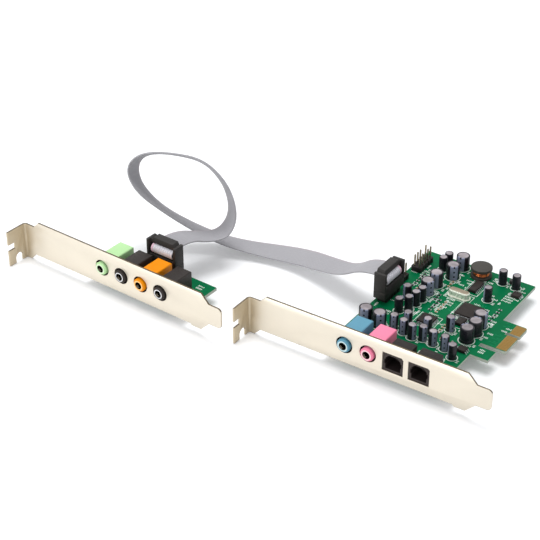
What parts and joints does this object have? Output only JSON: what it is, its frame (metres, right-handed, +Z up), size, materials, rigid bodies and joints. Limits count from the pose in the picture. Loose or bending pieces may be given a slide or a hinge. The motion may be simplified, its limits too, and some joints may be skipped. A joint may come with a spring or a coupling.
{
  "type": "sound card",
  "caption": "Low-profile sound card with audio jacks and optical ports, joined by a looped ribbon cable to a separate slot bracket that carries speaker jacks.",
  "frame": {"origin": "under the middle of the two cards, at the level of their lowest point", "axes": "+X along the main bracket from its screw tab to its tongue, +Y from the brackets' outer faces towards the boards, +Z up, square to the main board on its component side"},
  "size_m": [0.2448, 0.1143, 0.0519],
  "materials": {
    "bracket_metal": "bright nickel, slightly warm",
    "screw_steel": "plated",
    "board_green": "green solder mask over glass laminate",
    "gold_plate": "gold plated contacts and pins",
    "jack_blue": "moulded",
    "jack_pink": "moulded",
    "jack_green": "moulded",
    "jack_black": "moulded",
    "jack_orange": "moulded",
    "jack_ring": "bright ring",
    "contact_metal": "tinned",
    "port_black": "moulded",
    "chip_black": "moulded epoxy",
    "resistor_black": "glazed",
    "ceramic_tan": "ceramic",
    "crystal_can": "drawn can",
    "ferrite": "sintered ferrite",
    "copper": "enamelled copper wire",
    "can_sleeve": "shrunk sleeve over an aluminium can",
    "header_black": "moulded",
    "plug_black": "moulded",
    "solder": "solder",
    "ribbon_grey": "vinyl, one edge marked"
  },
  "bodies": {
    "root": {"main_bracket": "bracket_metal", "main_bracket_screws": "screw_steel", "main_circuit_board": "board_green", "edge_contacts": "gold_plate", "line_input_jack": "jack_blue", "microphone_jack": "jack_pink", "main_jack_contacts": "contact_metal", "optical_output_housing": "port_black", "optical_output_module": "port_black", "optical_input_housing": "port_black", "optical_input_module": "port_black", "audio_controller_chip": "chip_black", "audio_controller_leads": "contact_metal", "codec_chip": "chip_black", "codec_leads": "contact_metal", "small_chips": "chip_black", "small_chip_leads": "contact_metal", "crystal": "crystal_can", "inductor_core": "ferrite", "inductor_winding": "copper", "bead": "ferrite", "large_capacitors": "can_sleeve", "small_capacitors": "can_sleeve", "chip_resistors": "resistor_black", "chip_capacitors": "ceramic_tan", "chip_end_caps": "contact_metal", "front_audio_header": "header_black", "front_audio_pins": "gold_plate", "jumper_header": "header_black", "jumper_pins": "gold_plate", "main_solder_joints": "solder", "jack_bracket": "bracket_metal", "jack_bracket_screws": "screw_steel", "jack_circuit_board": "board_green", "front_speaker_jack": "jack_green", "rear_speaker_jack": "jack_black", "centre_speaker_jack": "jack_orange", "side_speaker_jack": "jack_black", "black_jack_rims": "jack_ring", "jack_card_contacts": "contact_metal", "jack_card_solder_joints": "solder", "main_ribbon_header": "header_black", "main_ribbon_pins": "gold_plate", "main_plug_socket": "plug_black", "main_plug_contacts": "gold_plate", "main_plug_cover": "plug_black", "main_plug_strain_relief": "plug_black", "main_ribbon_fold": "ribbon_grey", "jack_card_ribbon_header": "header_black", "jack_card_ribbon_pins": "gold_plate", "jack_card_plug_socket": "plug_black", "jack_card_plug_contacts": "gold_plate", "jack_card_plug_cover": "plug_black", "jack_card_plug_strain_relief": "plug_black", "jack_card_ribbon_fold": "ribbon_grey", "ribbon_cable": "ribbon_grey"}
  },
  "joints": []
}
